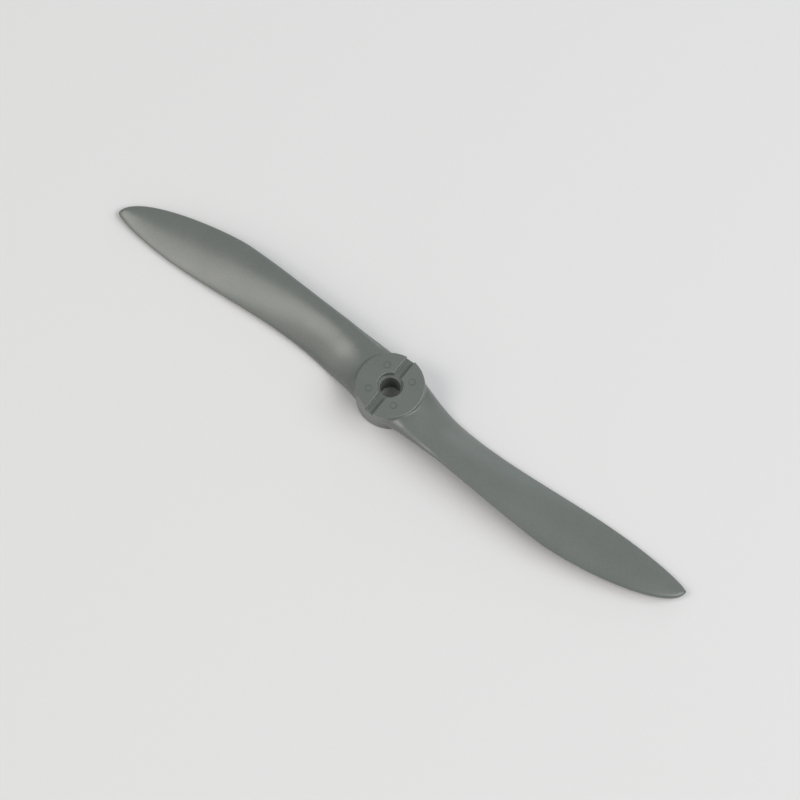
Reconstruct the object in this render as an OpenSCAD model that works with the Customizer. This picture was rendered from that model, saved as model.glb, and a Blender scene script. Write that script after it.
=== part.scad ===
// Two-blade fixed-pitch propeller for a radio-controlled model aircraft, 8 x 4 in.
// One moulding in glass-filled nylon, drawn as three regions that meet face to face: hub, blade_1, blade_2.
// Origin: on the bore axis, in the plane of the rear hub face. +Z points out of the front hub face.
// Blade 1 runs along +X and blade 2 along -X. Seen from the front the propeller turns clockwise.
// The leading edge of blade 1 is on its -Y side and sits higher than its trailing edge.

/* [Propeller] */
// Diameter of the circle swept by the tips
prop_d = 203.2; // [190:0.2:220]
// Distance advanced in one turn without slip
pitch = 101.6; // [90:0.2:115]
// Radius inside which the blade angle stops growing
twist_r = 28.5; // [26:0.5:34]

/* [Hub] */
// Outside diameter of the hub
hub_d = 20.2; // [19:0.1:22]
// Height of the hub from rear face to front face
hub_t = 9.6; // [9.2:0.1:12]
// Radius of the rounded front rim
rim_r = 0.4; // [0.2:0.1:0.8]
// Diameter of the shaft bore
bore_d = 6; // [4:0.05:6.4]
// Diameter of the counterbore in the front face
cbore_d = 7.5; // [7.4:0.05:9]
// Depth of the counterbore
cbore_depth = 1.8; // [1:0.1:3]
// Width of the drive slot across the front face
slot_w = 2.6; // [1.5:0.1:2.6]
// Depth of the drive slot
slot_depth = 1.5; // [0.8:0.1:2.5]
// Diameter of the four round ejector marks in the front face
mark_d = 2.2; // [1.5:0.1:2.6]
// Distance of the ejector marks from the bore axis
mark_r = 6.3; // [6:0.1:7]
// Depth of the ejector marks
mark_depth = 0.15; // [0.1:0.05:0.3]

/* [Blade outline] */
// Leading edge: distance from the blade axis at the root
lead_root = 9.25; // [8.6:0.05:9.4]
// Leading edge: greatest distance from the blade axis
lead_max = 11.5; // [10:0.1:13]
// Leading edge: radius at which it is farthest out
lead_max_r = 62; // [54:0.5:68]
// Trailing edge: distance from the blade axis at the root
trail_root = 7.9; // [7:0.1:8.4]
// Trailing edge: distance from the blade axis at the waist
trail_waist = 3.9; // [3.4:0.1:5]
// Trailing edge: radius of the waist
trail_waist_r = 37; // [32:0.5:42]
// Trailing edge: greatest distance from the blade axis
trail_max = 5.7; // [5:0.1:7]
// Trailing edge: radius at which it is farthest out
trail_max_r = 77.5; // [70:0.5:84]
// Distance of the swept tip from the blade axis, toward the trailing edge
tip_y = 2.6; // [1:0.1:4]

/* [Blade section] */
// Section thickness where the blade leaves the hub
root_t = 5.4; // [4.6:0.1:5.6]
// Section thickness over the outer blade
tip_t = 1.8; // [1.2:0.1:2.2]
// Thickness of the rounded edges where the blade leaves the hub
root_edge_t = 3; // [2.4:0.1:3.4]
// Thickness of the leading and trailing edges over the rest of the blade
edge_t = 0.6; // [0.4:0.05:0.9]
// Camber of the section as a share of its chord
camber = 0.035; // [0.02:0.005:0.05]
// Height of the chord line above the rear hub face, at the hub
root_z = 5.2; // [4.8:0.1:5.4]
// Height of the chord line above the rear hub face, over the inner blade
inner_z = 3.05; // [2.9:0.05:3.4]
// Height of the chord line above the rear hub face, over the outer blade
outer_z = 2.25; // [2:0.05:3]

/* [Hidden] */
hub_r = hub_d / 2;
tip_r = prop_d / 2;
start_x = 0.3 * hub_r;
root_x = 0.7 * hub_r;
level_x = 2.35 * hub_r;
settle_x = 2.05 * hub_r;
thin_x = 3 * hub_r;
foil_x = 7.5 * hub_r;
stations = 46;
side_points = 18;
round_fn = 120;
plastic = [0.44, 0.46, 0.45];

// Smooth step from 0 at a to 1 at b.
function ease(x, a, b) = let(s = min(1, max(0, (x - a) / (b - a)))) s * s * (3 - 2 * s);

// Share of the way from a to b, from 0 to 1.
function share(x, a, b) = min(1, max(0, (x - a) / (b - a)));

// Rounded run of an edge from its farthest point out to the tip, 1 falling to 0.
function tip_round(x, from_r, p, e) = pow(1 - pow(share(x, from_r, tip_r), p), e);

// Leading edge offset from the blade axis at radius x, on the -Y side.
function lead_y(x) = x < lead_max_r
    ? -lead_root - (lead_max - lead_root) * ease(x, 1.2 * hub_r, lead_max_r)
    : tip_y - (lead_max + tip_y) * tip_round(x, lead_max_r, 1.42, 0.5);

// Trailing edge offset from the blade axis at radius x, on the +Y side.
function trail_y(x) =
    x < trail_waist_r
        ? trail_waist + (trail_root - trail_waist) * pow(share(x, trail_waist_r, root_x), 2.3)
    : x < trail_max_r
        ? trail_waist + (trail_max - trail_waist) * ease(x, trail_waist_r, trail_max_r)
    : tip_y + (trail_max - tip_y) * tip_round(x, trail_max_r, 1.84, 0.58);

// Slope of the chord line: a helix of the given pitch that levels off into the hub.
function slope(x) = pitch / (2 * PI * pow(pow(x, 5) + pow(twist_r, 5), 0.2)) * ease(x, 0, level_x);

// Height of the chord line where it crosses the blade axis.
function axis_z(x) = root_z
    + (inner_z - root_z) * ease(x, root_x, settle_x)
    + (outer_z - inner_z) * ease(x, 0.44 * tip_r, 0.88 * tip_r);

// Greatest section thickness at radius x, kept small where the tip narrows.
function thickness(x) = let(w = trail_y(x) - lead_y(x))
    min(tip_t + (root_t - tip_t) * pow(1 - share(x, hub_r, tip_r), 4), edge_t + 0.3 * w, 0.9 * w);

// Thickness of the section's rounded edges at radius x.
function edge(x) = min(edge_t + (root_edge_t - edge_t) * pow(share(x, thin_x, hub_r), 2), thickness(x));

// Half thickness of a foil and of an oval, both 1 thick, at chord fraction c from leading to trailing edge.
function foil(c) = 1.63 * sqrt(c) - 0.7 * c - 1.95 * c * c + 1.58 * pow(c, 3) - 0.56 * pow(c, 4);
function oval(c) = sqrt(c * (1 - c));

// Half thickness of the section: an oval at the hub turning into a foil, with the rounded edges added.
function half_t(x, c) = let(k = ease(x, hub_r, foil_x))
    edge(x) / 2 * sqrt(max(0, 1 - pow(2 * c - 1, 6)))
    + (thickness(x) - edge(x)) * (k * foil(c) + (1 - k) * oval(c));

// Rise of the camber line above the chord at chord fraction c.
function arch(x, c) = camber * (trail_y(x) - lead_y(x)) * c * (1 - c) * (5 - 2 * c);

// Point on the section at radius x: side +1 is the front surface, -1 the rear surface.
function skin(x, c, side) = let(
    m = slope(x),
    k = sqrt(1 + m * m),
    y = lead_y(x) + c * (trail_y(x) - lead_y(x)),
    n = arch(x, c) + side * half_t(x, c))
    [x, y + n * m / k, axis_z(x) - m * y + n / k];

// Closed ring of points around the section at radius x.
function ring(x) = concat(
    [for (i = [0:side_points]) skin(x, (1 - cos(180 * i / side_points)) / 2, 1)],
    [for (i = [side_points - 1:-1:1]) skin(x, (1 - cos(180 * i / side_points)) / 2, -1)]);

module blade() {
    n = 2 * side_points;
    span = tip_r - 0.02 - start_x;
    points = [for (i = [0:stations]) each ring(start_x + span * sin(90 * i / stations))];
    sides = [
        for (i = [0:stations - 1], j = [0:n - 1])
            let(a = i * n + j, b = i * n + (j + 1) % n)
            each [[a, b, b + n], [a, b + n, a + n]]];
    root_face = [for (j = [0:n - 1]) n - 1 - j];
    tip_face = [for (j = [0:n - 1]) stations * n + j];
    color(plastic)
    difference() {
        polyhedron(points, concat(sides, [root_face, tip_face]), convexity = 6);
        translate([0, 0, -1]) cylinder(h = hub_t + 2, r = hub_r, $fn = round_fn);
    }
}

module hub_body() {
    rotate_extrude($fn = round_fn)
    polygon(concat(
        [[0, 0], [hub_r, 0]],
        [for (a = [0:15:90]) [hub_r - rim_r + rim_r * cos(a), hub_t - rim_r + rim_r * sin(a)]],
        [[0, hub_t]]));
}

module hub() {
    color(plastic)
    difference() {
        hub_body();
        translate([0, 0, -1]) cylinder(h = hub_t + 2, d = bore_d, $fn = round_fn);
        translate([0, 0, hub_t - cbore_depth]) cylinder(h = cbore_depth + 1, d = cbore_d, $fn = round_fn);
        translate([-slot_w / 2, -hub_r - 1, hub_t - slot_depth]) cube([slot_w, hub_d + 2, slot_depth + 1]);
        for (a = [45:90:315])
            rotate([0, 0, a]) translate([mark_r, 0, hub_t - mark_depth])
                cylinder(h = mark_depth + 1, d = mark_d, $fn = 48);
    }
}

module blade_1() {
    blade();
}

module blade_2() {
    rotate([0, 0, 180]) blade();
}

hub();
blade_1();
blade_2();
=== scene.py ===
import math

import bmesh
import bpy
import numpy as np
from mathutils import Matrix, Vector


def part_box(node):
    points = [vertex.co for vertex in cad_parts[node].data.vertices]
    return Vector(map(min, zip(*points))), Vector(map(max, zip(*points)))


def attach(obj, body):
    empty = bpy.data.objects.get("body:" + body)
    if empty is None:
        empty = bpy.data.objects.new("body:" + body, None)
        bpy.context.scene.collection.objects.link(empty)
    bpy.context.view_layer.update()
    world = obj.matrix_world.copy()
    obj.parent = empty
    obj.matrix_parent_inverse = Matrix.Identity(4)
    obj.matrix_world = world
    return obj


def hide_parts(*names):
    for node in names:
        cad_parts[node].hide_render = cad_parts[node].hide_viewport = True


# A two-blade model aircraft propeller, one moulding in glass-filled nylon, lying on a pale table.
# Shapes are worked out in millimetres in the CAD's own frame, and turned into metres on the way into Blender.

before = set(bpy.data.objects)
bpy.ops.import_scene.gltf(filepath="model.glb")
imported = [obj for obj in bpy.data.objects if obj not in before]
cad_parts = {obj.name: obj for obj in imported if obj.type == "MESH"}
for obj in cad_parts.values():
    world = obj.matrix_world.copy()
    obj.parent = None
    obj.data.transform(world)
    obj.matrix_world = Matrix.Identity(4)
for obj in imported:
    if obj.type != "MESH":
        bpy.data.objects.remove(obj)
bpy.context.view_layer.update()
MM = 0.001

# Driving dimensions. The hub's outside comes from the CAD hub, and the rest are the CAD's own, except that
# the ejector marks are a little shallower and have a soft rim.
hub_low, hub_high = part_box("hub")
HUB_R = (hub_high[0] - hub_low[0]) / 2 / MM
HUB_T = (hub_high[2] - hub_low[2]) / MM
BORE_R = 3.0
CBORE_R = 3.75
CBORE_DEPTH = 1.8
SLOT_W = 2.6
SLOT_DEPTH = 1.5
MARK_R = 1.1
MARK_AT = 6.3
MARK_DEPTH = 0.1
RIM_R = 0.4

TIP_R = 101.6
PITCH = 101.6
TWIST_R = 28.5
LEAD_ROOT, LEAD_MAX, LEAD_MAX_R = 9.25, 11.5, 62
TRAIL_ROOT, TRAIL_WAIST, TRAIL_WAIST_R = 7.9, 3.9, 37
TRAIL_MAX, TRAIL_MAX_R = 5.7, 77.5
TIP_Y = 2.6
ROOT_T, TIP_T = 5.4, 1.8
ROOT_EDGE_T, EDGE_T = 3.0, 0.6
CAMBER = 0.035
ROOT_Z, INNER_Z, OUTER_Z = 5.2, 3.05, 2.25

# Rounding that the CAD leaves out: blade to hub, and the edges of the slot and the two bores.
ROOT_FILLET = 0.6
EDGE_BREAK = 0.22

# The mesh: grid step round the hub, radius where the grid hands over to rings, and rings on each blade.
CELL = 0.18
CUT_X = 13.5
RINGS = 70
TIP_GAP = 0.02


# ---- blade shape ----

def share(x, a, b):
    return np.clip((x - a) / (b - a), 0, 1)


def ease(x, a, b):
    s = share(x, a, b)
    return s * s * (3 - 2 * s)


def tip_round(x, from_r, p, e):
    return (1 - share(x, from_r, TIP_R) ** p) ** e


def lead_y(x):
    """Leading edge offset from the blade axis, on the -Y side."""
    inner = -LEAD_ROOT - (LEAD_MAX - LEAD_ROOT) * ease(x, 1.2 * HUB_R, LEAD_MAX_R)
    outer = TIP_Y - (LEAD_MAX + TIP_Y) * tip_round(x, LEAD_MAX_R, 1.42, 0.5)
    return np.where(x < LEAD_MAX_R, inner, outer)


def trail_y(x):
    """Trailing edge offset from the blade axis, on the +Y side."""
    root = TRAIL_WAIST + (TRAIL_ROOT - TRAIL_WAIST) * share(x, TRAIL_WAIST_R, 0.7 * HUB_R) ** 2.3
    middle = TRAIL_WAIST + (TRAIL_MAX - TRAIL_WAIST) * ease(x, TRAIL_WAIST_R, TRAIL_MAX_R)
    outer = TIP_Y + (TRAIL_MAX - TIP_Y) * tip_round(x, TRAIL_MAX_R, 1.84, 0.58)
    return np.where(x < TRAIL_WAIST_R, root, np.where(x < TRAIL_MAX_R, middle, outer))


def slope(x):
    """Slope of the chord line: a helix that levels off into the hub."""
    return PITCH / (2 * math.pi * (x ** 5 + TWIST_R ** 5) ** 0.2) * ease(x, 0, 2.35 * HUB_R)


def axis_z(x):
    """Height of the chord line where it crosses the blade axis."""
    inner = (INNER_Z - ROOT_Z) * ease(x, 0.7 * HUB_R, 2.05 * HUB_R)
    outer = (OUTER_Z - INNER_Z) * ease(x, 0.44 * TIP_R, 0.88 * TIP_R)
    return ROOT_Z + inner + outer


def skin(x, turn):
    """Section point at radius x. turn is 0 at the leading edge, pi at the trailing edge, and back behind."""
    c = (1 - np.cos(turn)) / 2
    side = np.where(turn % (2 * math.pi) <= math.pi, 1.0, -1.0)
    width = trail_y(x) - lead_y(x)
    thick = TIP_T + (ROOT_T - TIP_T) * (1 - share(x, HUB_R, TIP_R)) ** 4
    thick = np.minimum(np.minimum(thick, EDGE_T + 0.3 * width), 0.9 * width)
    edge = EDGE_T + (ROOT_EDGE_T - EDGE_T) * share(x, 3 * HUB_R, HUB_R) ** 2
    edge = np.minimum(edge, thick)
    foil = 1.63 * np.sqrt(c) - 0.7 * c - 1.95 * c ** 2 + 1.58 * c ** 3 - 0.56 * c ** 4
    oval = np.sqrt(np.maximum(0, c * (1 - c)))
    k = ease(x, HUB_R, 7.5 * HUB_R)
    half = edge / 2 * np.sqrt(np.maximum(0, 1 - (2 * c - 1) ** 6))
    half = half + (thick - edge) * (k * foil + (1 - k) * oval)
    n = CAMBER * width * c * (1 - c) * (5 - 2 * c) + side * half
    m = slope(x)
    k = np.sqrt(1 + m * m)
    y = lead_y(x) + c * width
    return y + n * m / k, axis_z(x) - m * y + n / k


# ---- hub and blade roots as one distance field ----

SECTION_TURNS = np.linspace(0, 2 * math.pi, 161)


def blend_min(a, b, k):
    h = np.maximum(k - np.abs(a - b), 0) / k
    return np.minimum(a, b) - h * h * k / 4


def cut(solid, tool, k=EDGE_BREAK):
    return -blend_min(-solid, tool, k)


def section_distance(x, y, z):
    """Signed distance in the section plane from (y, z) to the blade section at radius x."""
    py, pz = skin(np.maximum(x, 2.0)[:, None], SECTION_TURNS[None])
    ay, az, by, bz = py[:, :-1], pz[:, :-1], py[:, 1:], pz[:, 1:]
    ey, ez = by - ay, bz - az
    wy, wz = y[:, None] - ay, z[:, None] - az
    t = np.clip((wy * ey + wz * ez) / np.maximum(ey * ey + ez * ez, 1e-12), 0, 1)
    near = np.sqrt(((wy - t * ey) ** 2 + (wz - t * ez) ** 2).min(axis=1))
    crosses = (az > z[:, None]) != (bz > z[:, None])
    at = ay + (z[:, None] - az) * ey / np.where(np.abs(ez) < 1e-12, 1e-12, ez)
    inside = (crosses & (y[:, None] < at)).sum(axis=1) % 2 == 1
    return np.where(inside, -near, near)


def blade_field(p):
    """Both blades. A point at -X is turned half way round first, because blade 2 is blade 1 turned so."""
    side = np.where(p[:, 0] < 0, -1.0, 1.0)
    batches = max(1, len(p) // 4000)
    x, y, z = (np.array_split(v, batches) for v in (p[:, 0] * side, p[:, 1] * side, p[:, 2]))
    return np.concatenate([section_distance(*batch) for batch in zip(x, y, z)])


def hub_field(p):
    r = np.hypot(p[:, 0], p[:, 1])
    qr = r - (HUB_R - RIM_R)
    qz = np.abs(p[:, 2] - HUB_T / 2) - (HUB_T / 2 - RIM_R)
    return np.hypot(np.maximum(qr, 0), np.maximum(qz, 0)) + np.minimum(np.maximum(qr, qz), 0) - RIM_R


def marks(p):
    """Depth of the four round ejector marks."""
    across = MARK_AT * math.sqrt(0.5)
    r = np.hypot(np.abs(p[:, 0]) - across, np.abs(p[:, 1]) - across)
    return MARK_DEPTH * (1 - ease(r, MARK_R - 0.35, MARK_R + 0.15)) * (p[:, 2] > HUB_T - 1)


def body_field(p):
    r = np.hypot(p[:, 0], p[:, 1])
    f = blend_min(hub_field(p), blade_field(p), ROOT_FILLET)
    f = f + marks(p)
    f = cut(f, r - BORE_R)
    f = cut(f, np.maximum(r - CBORE_R, HUB_T - CBORE_DEPTH - p[:, 2]))
    return cut(f, np.maximum(np.abs(p[:, 0]) - SLOT_W / 2, HUB_T - SLOT_DEPTH - p[:, 2]))


def surface_mesh():
    """Quads on the zero level of body_field between the two cut planes, open at both."""
    def nodes(half):
        n = math.ceil(half / CELL)
        return (np.arange(-n, n + 1)) * CELL
    xs = nodes(CUT_X)
    ys = nodes(HUB_R + 1.0)
    # The layers are shifted so that one lies level with the front face of the hub.
    zs = np.arange(-2, math.ceil(HUB_T / CELL) + 3) * CELL + 0.06
    grid = np.stack(np.meshgrid(xs, ys, zs, indexing="ij"), axis=-1)
    shape = grid.shape[:3]
    f = body_field(grid.reshape(-1, 3)).reshape(shape)
    total = np.zeros([n - 1 for n in shape] + [3])
    count = np.zeros([n - 1 for n in shape])
    crossings = []
    for axis in range(3):
        low = [slice(0, n) for n in shape]
        high = [slice(0, n) for n in shape]
        low[axis], high[axis] = slice(0, -1), slice(1, None)
        fa, fb = f[tuple(low)], f[tuple(high)]
        hit = (fa < 0) != (fb < 0)
        t = np.where(hit, fa / np.where(hit, fa - fb, 1), 0)[..., None]
        point = grid[tuple(low)] * (1 - t) + grid[tuple(high)] * t
        others = [a for a in range(3) if a != axis]
        for da in (0, 1):
            for db in (0, 1):
                pick = [slice(None)] * 3
                pick[others[0]] = slice(da, shape[others[0]] - 1 + da)
                pick[others[1]] = slice(db, shape[others[1]] - 1 + db)
                part = hit[tuple(pick)]
                total += np.where(part[..., None], point[tuple(pick)], 0)
                count += part
        crossings.append((axis, others, hit, fa < 0))
    live = count > 0
    index = -np.ones(live.shape, int)
    index[live] = np.arange(live.sum())
    points = total[live] / count[live][:, None]
    quads = []
    for axis, others, hit, starts_inside in crossings:
        inner = [slice(None)] * 3
        for a in others:
            inner[a] = slice(1, -1)
        where = np.argwhere(hit[tuple(inner)])
        for a in others:
            where[:, a] += 1
        inside = starts_inside[tuple(where.T)]
        ring = []
        for da, db in ((-1, -1), (0, -1), (0, 0), (-1, 0)):
            cell = where.copy()
            cell[:, others[0]] += da
            cell[:, others[1]] += db
            ring.append(index[tuple(cell.T)])
        quad = np.stack(ring, axis=1)
        flip = inside == (axis == 1)
        quad[flip] = quad[flip][:, ::-1]
        quads.append(quad)
    return points, np.concatenate(quads)


def settle(points, steps=3):
    """Moves points onto the zero level along the field's gradient."""
    d = 0.02
    for _ in range(steps):
        f = body_field(points)
        grad = np.stack([
            (body_field(points + e) - body_field(points - e)) / (2 * d)
            for e in np.eye(3) * d], axis=1)
        size = np.maximum((grad ** 2).sum(axis=1), 0.25)
        points = points - np.clip(f / size, -0.1, 0.1)[:, None] * grad
    return points


def open_loops(quads):
    """The mesh's open edges, chained into loops of point numbers."""
    edges = np.concatenate([quads[:, [i, (i + 1) % 4]] for i in range(4)])
    edges = edges[edges[:, 0] != edges[:, 1]]
    known = {tuple(e) for e in edges}
    after = {a: b for a, b in known if (b, a) not in known}
    loops = []
    while after:
        start, here = after.popitem()
        loop = [start]
        while here != start:
            loop.append(here)
            here = after.pop(here)
        loops.append(loop)
    return loops


def blade_rings(loop_points, side):
    """Rings of points from an open loop out to the tip, and the tip point."""
    x, y, z = (loop_points * [side, side, 1]).T
    turns = np.linspace(0, 2 * math.pi, 3001)[:-1]
    sy, sz = skin(np.full(1, x.mean()), turns)
    turn = turns[((y[:, None] - sy) ** 2 + (z[:, None] - sz) ** 2).argmin(axis=1)]
    start = x.mean()
    rings = []
    for i in range(1, RINGS + 1):
        at = start + (TIP_R - TIP_GAP - start) * math.sin(math.pi / 2 * i / RINGS)
        ry, rz = skin(np.full(len(turn), at), turn)
        rings.append(np.stack([np.full(len(turn), at), ry, rz], axis=1) * [side, side, 1])
    return rings, rings[-1].mean(axis=0)


def propeller_mesh():
    points, quads = surface_mesh()
    points = settle(points)
    points = [points]
    faces = [tuple(q) for q in quads]
    base = len(points[0])
    for loop in open_loops(quads):
        near = points[0][loop]
        rings, tip = blade_rings(near, math.copysign(1, near[:, 0].mean()))
        previous = np.array(loop)
        n = len(loop)
        for ring in rings:
            current = np.arange(base, base + n)
            points.append(ring)
            base += n
            for j in range(n):
                k = (j + 1) % n
                faces.append((previous[k], previous[j], current[j], current[k]))
            previous = current
        points.append(tip[None])
        faces += [(previous[(j + 1) % n], previous[j], base) for j in range(n)]
        base += 1
    mesh = bpy.data.meshes.new("propeller")
    mesh.from_pydata((np.concatenate(points) * MM).tolist(), [], [tuple(map(int, f)) for f in faces])
    mesh.validate()
    tidy = bmesh.new()
    tidy.from_mesh(mesh)
    bmesh.ops.recalc_face_normals(tidy, faces=tidy.faces)
    tidy.to_mesh(mesh)
    tidy.free()
    mesh.polygons.foreach_set("use_smooth", [True] * len(mesh.polygons))
    return mesh


# ---- material ----

def nylon():
    """Grey glass-filled nylon: faint mottling, a satin skin, a fine grain, and painted shade in a dark ring
    round each ejector mark on the front face.
    """
    material = bpy.data.materials.new("nylon")
    material.use_nodes = True
    tree = material.node_tree
    nodes, links = tree.nodes, tree.links
    shader = nodes["Principled BSDF"]
    place = nodes.new("ShaderNodeTexCoord").outputs["Object"]

    def noise(scale, detail, rough=0.5):
        node = nodes.new("ShaderNodeTexNoise")
        node.inputs["Scale"].default_value = scale
        node.inputs["Detail"].default_value = detail
        node.inputs["Roughness"].default_value = rough
        links.new(place, node.inputs["Vector"])
        return node.outputs["Fac"]

    def ramp(source, stops):
        node = nodes.new("ShaderNodeValToRGB")
        while len(node.color_ramp.elements) < len(stops):
            node.color_ramp.elements.new(0.5)
        for element, (at, colour) in zip(node.color_ramp.elements, stops):
            element.position = at
            element.color = (*colour, 1)
        links.new(source, node.inputs["Fac"])
        return node.outputs["Color"]

    def multiply(a, b, amount=None):
        node = nodes.new("ShaderNodeMix")
        node.data_type = "RGBA"
        node.blend_type = "MULTIPLY"
        node.inputs["Factor"].default_value = 1.0
        if amount:
            links.new(amount, node.inputs["Factor"])
        links.new(a, node.inputs[6])
        links.new(b, node.inputs[7])
        return node.outputs[2]

    def map_range(source, low, high):
        node = nodes.new("ShaderNodeMapRange")
        node.inputs["From Min"].default_value = low
        node.inputs["From Max"].default_value = high
        links.new(source, node.inputs["Value"])
        return node.outputs["Result"]

    def mark_distance():
        """Distance from the middle of the nearest ejector mark, 0 to 1 from 0.6 to 1.3 mm."""
        fold = nodes.new("ShaderNodeVectorMath")
        fold.operation = "ABSOLUTE"
        links.new(place, fold.inputs[0])
        move = nodes.new("ShaderNodeVectorMath")
        move.operation = "SUBTRACT"
        across = MARK_AT * math.sqrt(0.5) * MM
        move.inputs[1].default_value = (across, across, 0)
        links.new(fold.outputs[0], move.inputs[0])
        flat = nodes.new("ShaderNodeVectorMath")
        flat.operation = "MULTIPLY"
        flat.inputs[1].default_value = (1, 1, 0)
        links.new(move.outputs[0], flat.inputs[0])
        length = nodes.new("ShaderNodeVectorMath")
        length.operation = "LENGTH"
        links.new(flat.outputs[0], length.inputs[0])
        return map_range(length.outputs["Value"], 0.6 * MM, 1.3 * MM)

    def front_only():
        """1 on the front face of the hub, 0 below it."""
        split = nodes.new("ShaderNodeSeparateXYZ")
        links.new(place, split.inputs[0])
        return map_range(split.outputs["Z"], (HUB_T - 0.6) * MM, (HUB_T - 0.3) * MM)

    mottle = ramp(noise(60, 4), [(0.3, (0.138, 0.150, 0.139)), (0.7, (0.160, 0.170, 0.160))])
    specks = ramp(noise(2600, 2), [(0.35, (0.93, 0.93, 0.93)), (0.65, (1.05, 1.05, 1.05))])
    # Painted shade: the base colour is darkened in a ring round each ejector mark on the hub's front face, in
    # place of the shade under the marks' rims.
    mark_rim_shade = ramp(mark_distance(), [(0.2, (1.0, 1.0, 1.0)), (0.5, (0.6, 0.6, 0.6)), (0.8, (1.0, 1.0, 1.0))])
    links.new(multiply(multiply(mottle, specks), mark_rim_shade, front_only()), shader.inputs["Base Color"])

    shader.inputs["Specular IOR Level"].default_value = 0.65
    rough = nodes.new("ShaderNodeMapRange")
    rough.inputs["To Min"].default_value = 0.26
    rough.inputs["To Max"].default_value = 0.34
    links.new(noise(220, 5), rough.inputs["Value"])
    links.new(rough.outputs["Result"], shader.inputs["Roughness"])

    grain = nodes.new("ShaderNodeBump")
    grain.inputs["Strength"].default_value = 0.12
    grain.inputs["Distance"].default_value = 0.00005
    links.new(noise(3200, 3, 0.6), grain.inputs["Height"])
    wave = nodes.new("ShaderNodeBump")
    wave.inputs["Strength"].default_value = 0.15
    wave.inputs["Distance"].default_value = 0.0003
    links.new(noise(240, 2), wave.inputs["Height"])
    links.new(grain.outputs["Normal"], wave.inputs["Normal"])
    links.new(wave.outputs["Normal"], shader.inputs["Normal"])
    return material


propeller = bpy.data.objects.new("propeller", propeller_mesh())
bpy.context.scene.collection.objects.link(propeller)
propeller.data.materials.append(nylon())
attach(propeller, "root")
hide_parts("hub", "blade_1", "blade_2")


# ---- table, light and camera ----

def table():
    bpy.ops.mesh.primitive_plane_add(size=12, location=(0, 0, 0))
    floor = bpy.context.object
    floor.name = "table"
    material = bpy.data.materials.new("table")
    material.use_nodes = True
    shader = material.node_tree.nodes["Principled BSDF"]
    shader.inputs["Base Color"].default_value = (0.774, 0.758, 0.766, 1)
    shader.inputs["Roughness"].default_value = 0.9
    floor.data.materials.append(material)


def area_light(name, bearing, height, size, power, colour):
    """A soft round light 2 m from the hub. Its bearing from +X toward +Y and its height are in degrees."""
    a, h = math.radians(bearing), math.radians(height)
    data = bpy.data.lights.new(name, "AREA")
    data.shape = "DISK"
    data.size = size
    data.energy = power
    data.color = colour
    light = bpy.data.objects.new(name, data)
    light.location = 2 * Vector((math.cos(a) * math.cos(h), math.sin(a) * math.cos(h), math.sin(h)))
    light.rotation_euler = light.location.to_track_quat("Z", "Y").to_euler()
    bpy.context.scene.collection.objects.link(light)


def camera():
    """Looks down at the hub from the side of the first blade's leading edge."""
    azimuth, elevation, roll = math.radians(36.49), math.radians(69.47), math.radians(0.53)
    distance, right_shift, up_shift = 0.4661, 0.00283, -0.00433
    back = Vector((math.sin(azimuth) * math.cos(elevation),
                   -math.cos(azimuth) * math.cos(elevation), math.sin(elevation)))
    right = Vector((math.cos(azimuth), math.sin(azimuth), 0))
    up = back.cross(right)
    right, up = right * math.cos(roll) + up * math.sin(roll), up * math.cos(roll) - right * math.sin(roll)
    data = bpy.data.cameras.new("camera")
    data.sensor_width = 36
    data.lens = 72.99
    data.clip_start = 0.01
    eye = bpy.data.objects.new("camera", data)
    place = Vector((0, 0, HUB_T * MM)) + back * distance + right * right_shift + up * up_shift
    eye.matrix_world = Matrix.Translation(place) @ Matrix((right, up, back)).transposed().to_4x4()
    bpy.context.scene.collection.objects.link(eye)
    bpy.context.scene.camera = eye


table()
area_light("key", 225, 50, 0.95, 8.8, (1.0, 0.96, 0.91))
area_light("key_spill", 234, 30, 1.5, 5.0, (1.0, 0.94, 0.90))
area_light("window", 41, 44, 1.4, 14.0, (0.94, 0.97, 1.0))
area_light("window_spill", 0, 50, 0.95, 12.1, (1.0, 0.97, 0.97))
area_light("back", 108, 12, 0.95, 3.2, (0.82, 0.95, 1.0))
world = bpy.data.worlds.new("world")
world.use_nodes = True
world.node_tree.nodes["Background"].inputs["Color"].default_value = (0.92, 1.0, 0.97, 1)
world.node_tree.nodes["Background"].inputs["Strength"].default_value = 0.34
bpy.context.scene.world = world
bpy.context.scene.view_settings.view_transform = "Standard"
camera()
